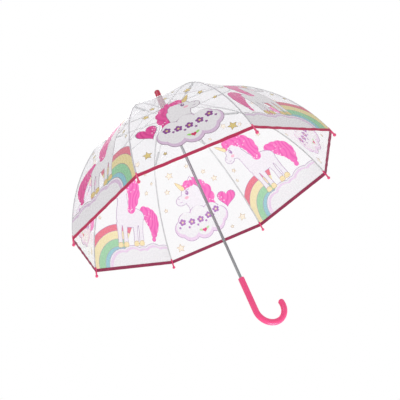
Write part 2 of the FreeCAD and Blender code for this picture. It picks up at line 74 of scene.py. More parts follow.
def make_stage():
    """A plain pale floor in soft studio light."""
    bpy.context.scene.view_settings.view_transform = "Standard"
    mesh = bpy.data.meshes.new("floor")
    side, low = 40, -1.35
    corners = [(-side, -side, low), (side, -side, low), (side, side, low), (-side, side, low)]
    mesh.from_pydata(corners, [], [(0, 1, 2, 3)])
    floor = bpy.data.objects.new("floor", mesh)
    bpy.context.scene.collection.objects.link(floor)
    mesh.materials.append(mottled("floor_paint", "eeeeee", "f4f4f4", 3, (0.7, 0.8)))
    world = bpy.data.worlds.new("studio")
    bpy.context.scene.world = world
    world.use_nodes = True
    nodes, links = world.node_tree.nodes, world.node_tree.links
    nodes.clear()
    # The backdrop is plain white. Surfaces are lit by a softer world, brighter below than above.
    out = nodes.new("ShaderNodeOutputWorld")
    seen = nodes.new("ShaderNodeBackground")
    seen.inputs["Color"].default_value = (1, 1, 1, 1)
    seen.inputs["Strength"].default_value = 1.0
    soft = nodes.new("ShaderNodeBackground")
    soft.inputs["Strength"].default_value = 0.85
    place = nodes.new("ShaderNodeTexCoord")
    split = nodes.new("ShaderNodeSeparateXYZ")
    fade = nodes.new("ShaderNodeMapRange")
    fade.inputs["From Min"].default_value = -1
    fade.inputs["To Min"].default_value = 1.15
    fade.inputs["To Max"].default_value = 0.9
    path = nodes.new("ShaderNodeLightPath")
    mix = nodes.new("ShaderNodeMixShader")
    links.new(place.outputs["Generated"], split.inputs[0])
    links.new(split.outputs["Z"], fade.inputs["Value"])
    links.new(fade.outputs["Result"], soft.inputs["Color"])
    links.new(path.outputs["Is Camera Ray"], mix.inputs["Fac"])
    links.new(soft.outputs[0], mix.inputs[1])
    links.new(seen.outputs[0], mix.inputs[2])
    links.new(mix.outputs[0], out.inputs["Surface"])
    area_light("key", (-2.2, -2.4, 2.6), (0, 0, 0.4), 1.6, 26)
    area_light("rim", (0.6, 2.8, 2.0), (0, 0, 0.5), 1.8, 20)
    area_light("below", (0.1, 0.0, -1.1), (0, 0.05, 0.5), 1.0, 13)


# ---------------------------------------------------------------- materials
def linear(code):
    """A colour from its six-digit sRGB code."""
    values = [int(code[i:i + 2], 16) / 255 for i in (0, 2, 4)]
    return tuple(v / 12.92 if v <= 0.04045 else ((v + 0.055) / 1.055) ** 2.4 for v in values) + (1,)


def blank(name):
    """A new material with one Principled shader: the material, its node tree and the shader."""
    found = bpy.data.materials.new(name)
    found.use_nodes = True
    tree = found.node_tree
    tree.nodes.clear()
    out = tree.nodes.new("ShaderNodeOutputMaterial")
    shader = tree.nodes.new("ShaderNodeBsdfPrincipled")
    tree.links.new(shader.outputs[0], out.inputs["Surface"])
    return found, tree, shader


def coordinates(tree, stretch=(1, 1, 1), cut=True):
    """Where a texture is read: on the flat cut of a sewn or welded piece, else in the object's frame."""
    if cut:
        source = tree.nodes.new("ShaderNodeAttribute")
        source.attribute_name = "cut"
        output = source.outputs["Vector"]
    else:
        source = tree.nodes.new("ShaderNodeTexCoord")
        output = source.outputs["Object"]
    mapping = tree.nodes.new("ShaderNodeMapping")
    mapping.inputs["Scale"].default_value = stretch
    tree.links.new(output, mapping.inputs["Vector"])
    return mapping.outputs["Vector"]


def noise(tree, where, scale, detail=3.0, distortion=0.0):
    found = tree.nodes.new("ShaderNodeTexNoise")
    found.inputs["Scale"].default_value = scale
    found.inputs["Detail"].default_value = detail
    found.inputs["Distortion"].default_value = distortion
    tree.links.new(where, found.inputs["Vector"])
    return found.outputs["Fac"]


def ramp(tree, value, *stops):
    """Colours at positions along a value: (position, code), ..."""
    found = tree.nodes.new("ShaderNodeValToRGB")
    elements = found.color_ramp.elements
    while len(elements) < len(stops):
        elements.new(0.5)
    for element, (position, code) in zip(elements, stops):
        element.position = position
        element.color = linear(code)
    tree.links.new(value, found.inputs["Fac"])
    return found.outputs["Color"]


def spread(tree, value, low, high, start=0.3, end=0.7):
    """A value between start and end, stretched to run from low to high."""
    found = tree.nodes.new("ShaderNodeMapRange")
    found.inputs["From Min"].default_value = start
    found.inputs["From Max"].default_value = end
    found.inputs["To Min"].default_value = low
    found.inputs["To Max"].default_value = high
    tree.links.new(value, found.inputs["Value"])
    return found.outputs["Result"]


def bump(tree, shader, height, distance, strength=0.5):
    found = tree.nodes.new("ShaderNodeBump")
    found.inputs["Strength"].default_value = strength
    found.inputs["Distance"].default_value = distance
    tree.links.new(height, found.inputs["Height"])
    tree.links.new(found.outputs["Normal"], shader.inputs["Normal"])


def mottled(name, dark, light, scale, rough, metallic=0.0, stretch=(1, 1, 1), cut=False, relief=0.0,
            coat=0.0):
    """A moulded, painted or drawn surface: colour and roughness vary along a noise."""
    found, tree, shader = blank(name)
    grain = noise(tree, coordinates(tree, stretch, cut), scale)
    tree.links.new(ramp(tree, grain, (0.3, dark), (0.7, light)), shader.inputs["Base Color"])
    tree.links.new(spread(tree, grain, *rough), shader.inputs["Roughness"])
    shader.inputs["Metallic"].default_value = metallic
    shader.inputs["Coat Weight"].default_value = coat
    shader.inputs["Coat Roughness"].default_value = 0.08
    if relief:
        bump(tree, shader, grain, relief)
    return found


def film(name, haze, tint, streaks):
    """Clear film: nearly all see-through face on, more mirror-like towards the edge, with faint grey
    streaks that are partly its own haze and partly painted reflection.
    """
    found, tree, shader = blank(name)
    out = tree.nodes["Material Output"]
    where = coordinates(tree, (1, 0.18, 1))
    # streaks up the panel in tint and haze: partly the film's haze, partly painted reflection of the ribs
    grain = noise(tree, where, streaks, 4, 0.6)
    tree.links.new(ramp(tree, grain, (0.3, tint[0]), (0.7, tint[1])), shader.inputs["Base Color"])
    tree.links.new(spread(tree, grain, 0.05, 0.16), shader.inputs["Roughness"])
    # The share of gloss is the haze, and up to edge_gloss more where the film is seen edge-on.
    edge_gloss = 0.42
    clear = tree.nodes.new("ShaderNodeBsdfTransparent")
    clear.inputs["Color"].default_value = (0.985, 0.98, 0.985, 1)
    facing = tree.nodes.new("ShaderNodeLayerWeight")
    facing.inputs["Blend"].default_value = 0.18
    share = tree.nodes.new("ShaderNodeMath")
    share.operation = "MULTIPLY_ADD"
    share.inputs[1].default_value = edge_gloss
    tree.links.new(facing.outputs["Facing"], share.inputs[0])
    tree.links.new(spread(tree, grain, *haze), share.inputs[2])
    mix = tree.nodes.new("ShaderNodeMixShader")
    tree.links.new(share.outputs[0], mix.inputs["Fac"])
    tree.links.new(clear.outputs[0], mix.inputs[1])
    tree.links.new(shader.outputs[0], mix.inputs[2])
    tree.links.new(mix.outputs[0], out.inputs["Surface"])
    return found


def ink(name, dark, light):
    """Printed ink under the film's gloss."""
    return mottled(name, dark, light, 260, (0.2, 0.34), cut=True, relief=0.00004)


def hair_ink(name, shade, body, tip, spark):
    """Brushed strands with scattered pale specks."""
    found, tree, shader = blank(name)
    where = coordinates(tree)
    wave = tree.nodes.new("ShaderNodeTexWave")
    wave.inputs["Scale"].default_value = 24
    wave.inputs["Distortion"].default_value = 14
    wave.inputs["Detail"].default_value = 1
    wave.inputs["Detail Scale"].default_value = 0.7
    tree.links.new(where, wave.inputs["Vector"])
    strands = ramp(tree, wave.outputs["Fac"], (0.0, shade), (0.12, body), (1.0, tip))
    cells = tree.nodes.new("ShaderNodeTexVoronoi")
    cells.inputs["Scale"].default_value = 150
    tree.links.new(where, cells.inputs["Vector"])
    dots = spread(tree, cells.outputs["Distance"], 1.0, 0.0, 0.2, 0.3)
    patches = spread(tree, noise(tree, where, 30, 1), 0.0, 1.0, 0.48, 0.56)
    both = tree.nodes.new("ShaderNodeMath")
    both.operation = "MULTIPLY"
    both.use_clamp = True
    tree.links.new(dots, both.inputs[0])
    tree.links.new(patches, both.inputs[1])
    mix = tree.nodes.new("ShaderNodeMix")
    mix.data_type = "RGBA"
    tree.links.new(both.outputs[0], mix.inputs["Factor"])
    tree.links.new(strands, mix.inputs["A"])
    mix.inputs["B"].default_value = linear(spark)
    tree.links.new(mix.outputs["Result"], shader.inputs["Base Color"])
    tree.links.new(spread(tree, wave.outputs["Fac"], 0.2, 0.34), shader.inputs["Roughness"])
    return found


def weave(name, dark, light):
    """Narrow woven tape, its ribs across the tape, painted darker in the dips between them as shade."""
    found, tree, shader = blank(name)
    where = coordinates(tree)
    warp = tree.nodes.new("ShaderNodeTexWave")
    warp.wave_type = "BANDS"
    warp.bands_direction = "X"
    warp.inputs["Scale"].default_value = 420
    warp.inputs["Distortion"].default_value = 0.6
    tree.links.new(where, warp.inputs["Vector"])
    weft = tree.nodes.new("ShaderNodeTexWave")
    weft.bands_direction = "Y"
    weft.inputs["Scale"].default_value = 300
    tree.links.new(where, weft.inputs["Vector"])
    both = tree.nodes.new("ShaderNodeMath")
    both.operation = "MULTIPLY"
    tree.links.new(warp.outputs["Fac"], both.inputs[0])
    tree.links.new(weft.outputs["Fac"], both.inputs[1])
    worn = noise(tree, where, 60, 3)
    # Weave height and random wear set the colour: the dips between the threads are painted darker as shade.
    dips_shade_and_wear = tree.nodes.new("ShaderNodeMath")
    dips_shade_and_wear.operation = "MULTIPLY_ADD"
    dips_shade_and_wear.inputs[1].default_value = 0.5
    tree.links.new(both.outputs[0], dips_shade_and_wear.inputs[0])
    tree.links.new(worn, dips_shade_and_wear.inputs[2])
    tree.links.new(ramp(tree, dips_shade_and_wear.outputs[0], (0.3, dark), (0.85, light)), shader.inputs["Base Color"])
    tree.links.new(spread(tree, worn, 0.55, 0.75), shader.inputs["Roughness"])
    shader.inputs["Sheen Weight"].default_value = 0.04
    bump(tree, shader, both.outputs[0], 0.0002, 0.6)
    return found


# ink: (outside dark, outside light, inside dark, inside light). The outside pair is painted darker and
# greyer as shade, the inside pair lighter as painted backlight shining through.
INKS = {
    "outline": ("84687f", "967b92", "a886b2", "b898c0"),
    "white": ("dad7da", "e2dfe2", "e9e7ec", "f0eef3"),
    "cloud": ("dddadd", "e4e1e4", "e8e9eb", "f0f1f2"),
    "lavender": ("ccb0cc", "d6bed6", "e4cee6", "eedaee"),
    "gold": ("d0b468", "dcc484", "f0dca4", "f6e8c0"),
    "star": ("d4bc70", "e2cc88", "f5ead2", "faf3e4"),
    "bronze": ("7a5a30", "8a6a3c", "ac8a5c", "b8986c"),
    "plum": ("7a3480", "8a4290", "aa74b6", "b884c4"),
    "blush": ("e6a0b6", "eab0c2", "f4b4c8", "f8c2d2"),
    "red": ("c01c50", "cc285c", "dc4c84", "e65c92"),
    "leaf": ("8cc860", "9cd470", "b4dca0", "c2e6b0"),
    "band_red": ("cf6478", "d87084", "e2788a", "ea8696"),
    "band_yellow": ("d8c78a", "e0d09a", "ecdfae", "f2e8be"),
    "band_green": ("84bd90", "90c69c", "9ccfa6", "aad8b2"),
    "band_blue": ("7cb4be", "8abec8", "94c6ce", "a2d0d8"),
}


def make_print_materials():
    """Each ink's two faces: the one seen from outside through the film, painted darker as shade, and the
    one seen from inside, painted lighter as backlight.
    """
    table = {"film": (film("film", (0.012, 0.05), ("dcdfe2", "f0f2f4"), 22),) * 2,
             "seam": (film("seam", (0.2, 0.34), ("c4bfc6", "dcd8de"), 60),) * 2}
    for name, codes in INKS.items():
        # outside copies carry painted shade, inside copies painted light; the hair's copies too
        table[name] = ink(name + "_outside", *codes[:2]), ink(name + "_inside", *codes[2:])
    table["hair"] = (hair_ink("hair_outside_shaded", "c42c7e", "d8348c", "dc3e92", "fad4e8"),
                     hair_ink("hair_inside_lit", "e860b2", "f26cba", "f374be", "fff0f8"))
    return table


# ---------------------------------------------------------------- the print's shapes, in millimetres
LINE = 1.3  # width of an outline
BAND = 4  # width of a cloud's lavender band


def smooth(*corners, steps=5):
    """A closed curve through its corners, with a number of steps from each corner to the next."""
    points = np.array(corners, float)
    t = np.linspace(0, 1, steps, endpoint=False)[:, None]
    runs = []
    for i in range(len(points)):
        a, b, c, d = (points[(i + j) % len(points)] for j in (-1, 0, 1, 2))
        runs.append(0.5 * (2 * b + (c - a) * t + (2 * a - 5 * b + 4 * c - d) * t ** 2
                           + (3 * b - a - 3 * c + d) * t ** 3))
    return np.concatenate(runs)


def placed(shape, x, y, tilt):
    """A shape drawn round the origin, turned by some degrees and moved to its place."""
    c, s = math.cos(math.radians(tilt)), math.sin(math.radians(tilt))
    return shape @ np.array([[c, s], [-s, c]]) + (x, y)


def oval(x, y, rx, ry=None, tilt=0.0, count=26):
    """An ellipse, or a circle where only one radius is given."""
    t = np.linspace(0, 2 * np.pi, count, endpoint=False)
    return placed(np.stack([rx * np.cos(t), (ry or rx) * np.sin(t)], 1), x, y, tilt)


def star(x, y, reach, tilt):
    """A five-pointed star."""
    t = np.radians(90 + tilt) + np.arange(10) * np.pi / 5
    r = np.where(np.arange(10) % 2 == 0, reach, 0.48 * reach)
    return np.stack([x + r * np.cos(t), y + r * np.sin(t)], 1)


def heart(x, y, width, tilt=0.0):
    """The well-known heart curve, which is 32 wide before it is scaled."""
    t = np.linspace(0, 2 * np.pi, 26, endpoint=False)
    flat = np.stack([16 * np.sin(t) ** 3,
                     13 * np.cos(t) - 5 * np.cos(2 * t) - 2 * np.cos(3 * t) - np.cos(4 * t)], 1)
    return placed(flat * width / 32, x, y, tilt)


def band(x, y, outer, inner, start, end):
    """Part of a ring round a point, from one angle to another in degrees."""
    t = np.radians(np.linspace(start, end, 26))
    edge = np.stack([np.cos(t), np.sin(t)], 1)
    return np.concatenate([edge * outer, edge[::-1] * inner]) + (x, y)


def stroke(width, *corners):
    """A pen line through points, as a closed outline that thins at both ends."""
    points = np.array(corners, float)
    way = np.gradient(points, axis=0)
    side = np.stack([-way[:, 1], way[:, 0]], 1) / np.linalg.norm(way, axis=1)[:, None]
    thick = width / 2 * (0.35 + 0.65 * np.sin(np.linspace(0.15, np.pi - 0.15, len(points))))[:, None]
    return np.concatenate([points + side * thick, (points - side * thick)[::-1]])


def grown(shape, by):
    """A closed outline moved outwards."""
    area = np.sum(shape[:, 0] * np.roll(shape[:, 1], -1) - np.roll(shape[:, 0], -1) * shape[:, 1])
    way = np.roll(shape, -1, 0) - np.roll(shape, 1, 0)
    out = np.stack([way[:, 1], -way[:, 0]], 1) / np.maximum(np.linalg.norm(way, axis=1), 1e-6)[:, None]
    return shape + out * by * np.sign(area)


def outlined(fill, shapes, edge="outline", by=LINE):
    """Shapes of one ink that merge inside one common outline."""
    return [(edge, grown(s, by)) for s in shapes] + [(fill, s) for s in shapes]


def stars(*places):
    """Outlined stars, each given as (x, y, reach, tilt)."""
    found = []
    for x, y, reach, tilt in places:
        found += [("bronze", star(x, y, reach + 1.6, tilt)), ("star", star(x, y, reach, tilt))]
    return found


def cloud(lobes, shift, margin=0.0):
    """A cloud of round lobes, with a lavender band along one edge that may lie inside a pale margin."""
    found = [("outline", oval(x, y, r + LINE)) for x, y, r in lobes]
    if margin:
        found += [("cloud", oval(x, y, r)) for x, y, r in lobes]
    found += [("lavender", oval(x, y, r - margin)) for x, y, r in lobes]
    found += [("cloud", oval(x + shift[0], y + shift[1], r - margin - BAND)) for x, y, r in lobes]
    return found


def flower(x, y, reach):
    """Five round petals about a gold middle."""
    petals = [(x + 0.62 * reach * math.cos(t), y + 0.62 * reach * math.sin(t))
              for t in np.radians(np.arange(18, 378, 72))]
    return [("plum", oval(px, py, 0.42 * reach, count=12)) for px, py in petals] + [
        ("gold", oval(x, y, 0.3 * reach, count=10))]


def curls(start, end, bow, sizes):
    """Hair as round curls along a bowed line."""
    share = np.linspace(0, 1, len(sizes))[:, None]
    line = (1 - share) * np.array(start) + share * np.array(end) + np.sin(np.pi * share) * np.array(bow)
    return [("hair", oval(x, y, r)) for (x, y), r in zip(line, sizes)]


def pony_face(x, y):
    """An open eye with lashes, a cheek, a nostril and a smile, placed from the middle of the eye."""
    shapes = [("plum", oval(x, y, 4.6, 6.4)), ("outline", oval(x, y - 0.8, 2.9, 4.4, count=14)),
              ("cloud", oval(x + 1.5, y + 2.4, 1.5, 1.9, count=10)), ("blush", oval(x + 5, y - 13, 6, 4))]
    for dx in (-5, -2.5, 0):
        lash = stroke(1.3, (x + dx, y + 5.5), (x + 1.3 * dx - 0.6, y + 8), (x + 1.6 * dx - 1.4, y + 10))
        shapes.append(("plum", lash))
    shapes.append(("plum", oval(x + 27, y - 9, 1.1, 1.7, -15, 10)))
    shapes.append(("plum", stroke(1.2, (x + 19, y - 20), (x + 23, y - 21), (x + 27, y - 19))))
    return shapes


def cloud_pony():
    """A horned pony's head looking over a cloud, with a heart beside it."""
    shapes = [("outline", heart(-76, 112, 53, 14)), ("hair", heart(-76, 112, 50, 14))]
    # mane, head with its ear, forelock, horn and face
    shapes += curls((-4, 192), (-26, 112), (-13, 4), (13, 16, 18, 18, 16))
    neck = smooth((-16, 160), (-20, 122), (-16, 96), (32, 96), (30, 124), (32, 152))
    ear = smooth((-4, 178), (-2, 210), (13, 184), steps=3)
    shapes += outlined("white", [neck, ear, oval(12, 164, 26, 23), oval(42, 152, 17, 13, -14)])
    shapes.append(("blush", smooth((-1, 184), (0, 203), (9, 186), steps=3)))
    shapes += curls((2, 190), (24, 186), (0, 3), (9, 11, 8))
    shapes += outlined("gold", [smooth((24, 184), (34, 179), (44, 208), steps=3)], "bronze", 0.8)
    shapes += pony_face(22, 168)
    # the cloud, with a bowed row of flowers and stars on it, and below them a heart between two leaves
    rounds = np.radians(np.arange(0, 360, 45))
    lobes = [(14 + 52 * math.cos(t), 76 + 22 * math.sin(t), 25) for t in rounds] + [(14, 76, 36)]
    shapes += cloud(lobes, (-1, 5))
    for i in (-2, -1, 0, 1, 2):
        x, y = 14 + 25 * i, 84 + 2.5 * i * i
        shapes += flower(x, y, 9.5)
        shapes.append(("plum", star(x + 12, y - 12, 4.6, 20 * i)))
    shapes.append(("leaf", oval(5, 55, 6, 3, -25, 14)))
    shapes.append(("leaf", oval(23, 55, 6, 3, 25, 14)))
    shapes.append(("red", heart(14, 52, 13)))
    return shapes + stars((-64, 176, 8, 8), (-42, 206, 6, -10), (50, 232, 10, -8), (72, 190, 7, 12),
                          (-4, 240, 5, 0), (-96, 44, 10, -6), (96, 30, 11, 9), (20, 268, 4, 14),
                          (94, 142, 5, 0), (-60, 30, 4, 8))


def rainbow_pony():
    """A horned pony standing on a cloud, with a rainbow behind it."""
    shapes = []
    for name, outer, inner in (("band_red", 110, 93), ("band_yellow", 93, 71), ("band_green", 71, 50),
                               ("band_blue", 50, 34)):
        shapes.append(("outline", band(47, 10, outer + 1, inner - 1, -20, 118)))
        shapes.append((name, band(47, 10, outer, inner, -20, 118)))
    shapes += cloud([(-110 + 37 * i, 8 + 6 * (i % 2), 46) for i in range(5)], (-4, -2), 3.5)
    # tail, then legs, neck, ear, body and head in one outline
    leg_places = (-37, -18, 18, 37)
    shapes += curls((-48, 152), (-82, 72), (-18, 8), (13, 18, 21, 22, 20, 16, 11, 7))
    legs = [smooth((x - 8, 126), (x - 5.5, 94), (x - 6, 66), (x + 6, 66), (x + 5.5, 94), (x + 8, 126),
                   steps=3)
            for x in leg_places]
    neck = smooth((4, 146), (10, 180), (18, 206), (42, 206), (42, 178), (42, 140))
    ear = smooth((20, 222), (22, 252), (37, 228), steps=3)
    shapes += outlined("white", legs + [neck, ear, oval(-2, 136, 48, 26, 3), oval(36, 210, 25, 22),
                                        oval(64, 199, 16, 12, -14)])
    shapes.append(("blush", smooth((23, 228), (24, 246), (33, 229), steps=3)))
    for x in leg_places:
        hoof = smooth((x - 7.5, 59), (x - 6, 70), (x + 6, 70), (x + 7.5, 59), steps=2)
        shapes += outlined("gold", [hoof], "bronze", 0.8)
    # mane, forelock, horn and face
    shapes += curls((18, 240), (-6, 160), (-17, 6), (15, 19, 21, 21, 18, 14))
    shapes += curls((24, 238), (48, 231), (0, 4), (11, 12, 8))
    shapes += outlined("gold", [smooth((48, 230), (58, 225), (68, 254), steps=3)], "bronze", 0.8)
    shapes += pony_face(44, 214)
    return shapes + stars((-10, 282, 8, 8), (-58, 200, 6, -10), (-74, 226, 4, 5), (84, 168, 6, -8),
                          (20, 300, 5, 12), (-46, 254, 5, -6), (100, 140, 4, 9), (52, 280, 4, 0))


# ---------------------------------------------------------------- the canopy's curve and its flat cut
class Canopy:
    """The film's line over the ribs, and the flat cut of one panel, in metres.

    The sizes in capitals are in millimetres. A rib is a straight length and two arcs.
    """

    RING, CROWN = 6.2, 623.0  # radius and height of the ribs' hinges
    SLOPES = np.radians((10.75, 42.95, 75.55))  # below the level: straight, first arc's end, rib's end
    RADII = (246.0, 430.49)  # of the arcs along the rib's middle
    STRAIGHT, LIFT = 100.28, 1.6  # length of the straight, and the film's height over the rib's middle
    APEX = (8.9, 656.0)  # where the film meets the washer
    SAG, PUCKER, DRIFT = 3.4, 0.5, 0.8  # depths of the film's pull, puckers and slow waves
    ARC_POINTS, TOP_POINTS = 160, 40  # along each arc, and from the washer to the first arc

    def __init__(self):
        a, b, c = self.SLOPES
        bend = np.array([self.RING + self.STRAIGHT * math.cos(a), self.CROWN - self.STRAIGHT * math.sin(a)])
        first = bend - self.RADII[0] * np.array([math.sin(a), math.cos(a)])
        second = first + (self.RADII[0] - self.RADII[1]) * np.array([math.sin(b), math.cos(b)])
        reach = [r + self.LIFT for r in self.RADII]
        away = np.array(self.APEX) - first
        touch = math.atan2(away[0], away[1]) + math.acos(reach[0] / np.hypot(*away))
        lines = []
        for centre, radius, start, end in ((first, reach[0], touch, b), (second, reach[1], b, c)):
            angles = np.linspace(start, end, self.ARC_POINTS)
            lines.append(centre + radius * np.stack([np.sin(angles), np.cos(angles)], 1))
        straight = np.linspace(self.APEX, lines[0][0], self.TOP_POINTS)
        line = np.concatenate([straight[:-1], lines[0][:-1], lines[1]])
        self.rib_radius = line[:, 0] * MM
        self.out = self.rib_radius * math.cos(HALF_PANEL)
        self.height = line[:, 1] * MM
        steps = np.hypot(np.diff(self.out), np.diff(self.height))
        self.along = np.concatenate([[0], np.cumsum(steps)])
        self.length = self.along[-1]
        slope = np.stack([np.gradient(self.out, self.along), np.gradient(self.height, self.along)], 1)
        self.normal = np.stack([-slope[:, 1], slope[:, 0]], 1)

    def half_width(self, up):
        """Half of the cut's width at a height above the hem."""
        return np.interp(self.length - up, self.along, self.out) * math.tan(HALF_PANEL)

    def slack(self, across, up, seed):
        """How far the film stands inside its flat panel.

        It is pulled in between the ribs, puckers near the hem and the crown, and drifts in slow waves. The
        factors of across and up are in radians per metre.
        """
        share = np.clip(np.abs(across) / self.half_width(up), 0, 1)
        level = np.clip(up / self.length, 0, 1)
        pull = self.SAG * np.sin(np.pi * level ** 0.8) * (1 - share ** 2)
        phase = 1.7 * seed
        ripple = self.PUCKER * np.sin(across * 150 + 0.6 * np.sin(up * 22 + phase))
        ripple = ripple * (1 - share) * share * 4
        ripple *= np.exp(-((level - 0.02) / 0.16) ** 2) + np.exp(-((level - 0.95) / 0.2) ** 2)
        drift = self.DRIFT * np.sin(up * 19 + phase) * np.sin(across * 26 + 2 * phase)
        drift = drift * (1 - share ** 2) * level
        return (pull + ripple + drift) * MM

    def points(self, across, up, seed, lift):
        """Places on the panel over +X, from the flat cut to three dimensions."""
        s = self.length - up
        nx, nz = np.interp(s, self.along, self.normal[:, 0]), np.interp(s, self.along, self.normal[:, 1])
        move = lift - self.slack(across, up, seed)
        return np.stack([np.interp(s, self.along, self.out) + nx * move, across,
                         np.interp(s, self.along, self.height) + nz * move], 1)


canopy = Canopy()
SEAM = 0.0023  # weld's width on each side of a rib
FILM = 0.0003  # thickness
HEM_WIDTH, HEM_THICK = 0.008, 0.0013
TIP_ROOM = 0.0026  # between the binding's end and the corner, for the rib's tip
ROWS, CAP_ROWS = 62, 5  # levels of the cut, and how many of its steps belong to the cap
CAP = canopy.length * CAP_ROWS / (ROWS - 1)
CAP_EASE = 0.016  # length below the cap over which the half-panel's share fades out
GRID = 0.009  # spacing of the points inside a panel
HEM_POINTS = 35  # along the hem, both corners among them
SHARP_ANGLE = math.radians(50)


def inside(points, shape):
    """Which points lie inside a closed outline."""
    x, y = points[:, 0], points[:, 1]
    hit = np.zeros(len(points), bool)
    a, b = shape, np.roll(shape, -1, 0)
    for (x0, y0), (x1, y1) in zip(a, b):
        if y0 == y1:
            continue
        crosses = (y0 > y) != (y1 > y)
        hit ^= crosses & (x < (x1 - x0) * (y - y0) / (y1 - y0) + x0)
    return hit


def cut_panel(shapes):
    """The flat cut in triangles that follow the print: points, triangles and each triangle's ink."""
    rows = np.linspace(0, canopy.length, ROWS)
    edge = canopy.half_width(rows)
    points, lines = [], []

    def add(path, closed):
        first = len(points)
        points.extend(path)
        lines.extend((first + i, first + i + 1) for i in range(len(path) - 1))
        if closed:
            lines.append((first + len(path) - 1, first))

    right = np.stack([edge, rows], 1)
    left = np.stack([-edge, rows], 1)
    hem = np.stack([np.linspace(-edge[0], edge[0], HEM_POINTS)[1:-1], np.zeros(HEM_POINTS - 2)], 1)
    border = np.concatenate([hem, right, left[::-1]])
    add(border.tolist(), True)
    add([(0.0, y) for y in rows], False)
    cap_start = -1 - CAP_ROWS
    add([(-edge[cap_start], rows[cap_start]), (edge[cap_start], rows[cap_start])], False)
    for side in (-1, 1):
        add([(side * (w - SEAM), y) for w, y in zip(edge, rows) if w > 2 * SEAM], False)
    for i, y in enumerate(rows[1:-1]):
        wide = edge[i + 1] - 2 * SEAM
        count = int(wide / GRID)
        for x in np.linspace(0, wide, count + 1)[1:] if count else []:
            points.extend([(x, y), (-x, y)])
    scaled = [(name, shape * MM) for name, shape in shapes]
    for _, shape in scaled:
        add(shape.tolist(), True)
    found = delaunay_2d_cdt([Vector(p) for p in points], lines, [], 0, 1e-6, False)
    flat = np.array([tuple(v) for v in found[0]])
    faces = np.array(found[2])
    middle = flat[faces].mean(1)
    keep = inside(middle, border)
    faces, middle = faces[keep], middle[keep]
    names = np.full(len(faces), "film", dtype=object)
    for name, shape in scaled:
        low, high = shape.min(0), shape.max(0)
        near = np.where(((middle > low) & (middle < high)).all(1))[0]
        names[near[inside(middle[near], shape)]] = name
    names[canopy.half_width(middle[:, 1]) - np.abs(middle[:, 0]) < SEAM * 0.98] = "seam"
    return flat, faces, names


def mesh_object(name, points, faces, materials, slots, cut):
    """A smooth-shaded piece whose points also carry their place on the flat cut."""
    mesh = bpy.data.meshes.new(name)
    mesh.from_pydata([tuple(p) for p in points], [], [tuple(int(i) for i in f) for f in faces])
    for found in materials:
        mesh.materials.append(found)
    mesh.polygons.foreach_set("material_index", np.array(slots, np.int32))
    mesh.polygons.foreach_set("use_smooth", np.ones(len(faces), bool))
    flat = mesh.attributes.new("cut", "FLOAT_VECTOR", "POINT")
    flat.data.foreach_set("vector", np.array(cut, np.float32).ravel())
    mesh.set_sharp_from_angle(angle=SHARP_ANGLE)
    mesh.validate()
    made = bpy.data.objects.new(name, mesh)
    bpy.context.scene.collection.objects.link(made)
    return made


def turned(points, panel):
    """From the panel over +X to its place round the shaft."""
    angle = (panel - 0.5) * 2 * HALF_PANEL
    c, s = math.cos(angle), math.sin(angle)
    return points @ np.array([[c, s, 0], [-s, c, 0], [0, 0, 1]])


def fold(made, panel, side, across, up):
    """Film or binding: its placement is baked into its points.

    It works out the half-panel's share at each point, which fades out just below the cap. Returns the
    half-panel's body.
    """
    body = "panel_%d_%s" % (panel, side)
    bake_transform(made)
    share = 1 - np.clip(np.abs(across) / canopy.half_width(up), 0, 1)
    share *= np.clip((canopy.length - CAP - up) / CAP_EASE, 0, 1)
    return body


def hang(made):
    """The cap at the top, by the washer: its placement is baked into its points."""
    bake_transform(made)


def skin(name, panel, cut, keep, materials):
    """Part of a cut as film with its print, in two layers closed round the rim.

    Returns the piece, and how far its points lie across and up the cut.
    """
    flat, faces, names = cut
    faces, names = faces[keep], names[keep]
    used = np.unique(faces)
    index = np.full(len(flat), -1)
    index[used] = np.arange(len(used))
    faces, flat = index[faces], flat[used]
    corner = flat[faces]
    turn = np.cross(corner[:, 1] - corner[:, 0], corner[:, 2] - corner[:, 0])
    faces[turn < 0] = faces[turn < 0][:, ::-1]
    across, up = flat[:, 0], flat[:, 1]
    count = len(flat)
    outer = canopy.points(across, up, panel, FILM / 2)
    inner = canopy.points(across, up, panel, -FILM / 2)
    edges = {pair for a, b, c in faces for pair in ((a, b), (b, c), (c, a))}
    rim = [(b, a, a + count, b + count) for a, b in sorted(edges) if (b, a) not in edges]
    order = sorted(set(names))
    # outer layer: each ink's outside copy with painted shade; inner layer: its inside copy with painted
    # light
    palette = [materials[n][0] for n in order] + [materials[n][1] for n in order]
    slot = np.array([order.index(n) for n in names])
    all_faces = [tuple(f) for f in faces] + [tuple(f[::-1] + count) for f in faces] + rim
    slots = list(slot) + list(slot + len(order)) + [order.index("film")] * len(rim)
    places = np.concatenate([np.column_stack([flat, np.zeros(count)])] * 2)
    points = turned(np.concatenate([outer, inner]), panel)
    made = mesh_object(name, points, all_faces, palette, slots, places)
    return made, np.tile(across, 2), np.tile(up, 2)


def make_half(panel, side, cut, materials, hem_materials):
    """Half of a panel: its film, its cap at the crown and its length of the binding."""
    middle = cut[0][cut[1]].mean(1)
    ours = middle[:, 0] < 0 if side == "left" else middle[:, 0] > 0
    top = middle[:, 1] > canopy.length - CAP
    made, across, up = skin("film_%d_%s" % (panel, side), panel, cut, ours & ~top, materials)
    body = fold(made, panel, side, across, up)
    cap, across, up = skin("cap_%d_%s" % (panel, side), panel, cut, ours & top, materials)
    hang(cap)
    hem = make_hem(panel, side, hem_materials)
    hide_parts(body)


# The binding's section: shares of its width above the hem and of half its thickness.
BINDING = ((-0.1, 0), (0.02, 0.7), (0.25, 1), (0.55, 0.94), (0.85, 1), (0.97, 0.75), (1, 0),
           (0.97, -0.75), (0.85, -1), (0.55, -0.94), (0.25, -1), (0.02, -0.7))
BINDING_STEPS = 60
BINDING_WAVE, BINDING_SWELL = 0.0093, 0.07  # length of a wave in its thickness, and the share that it adds
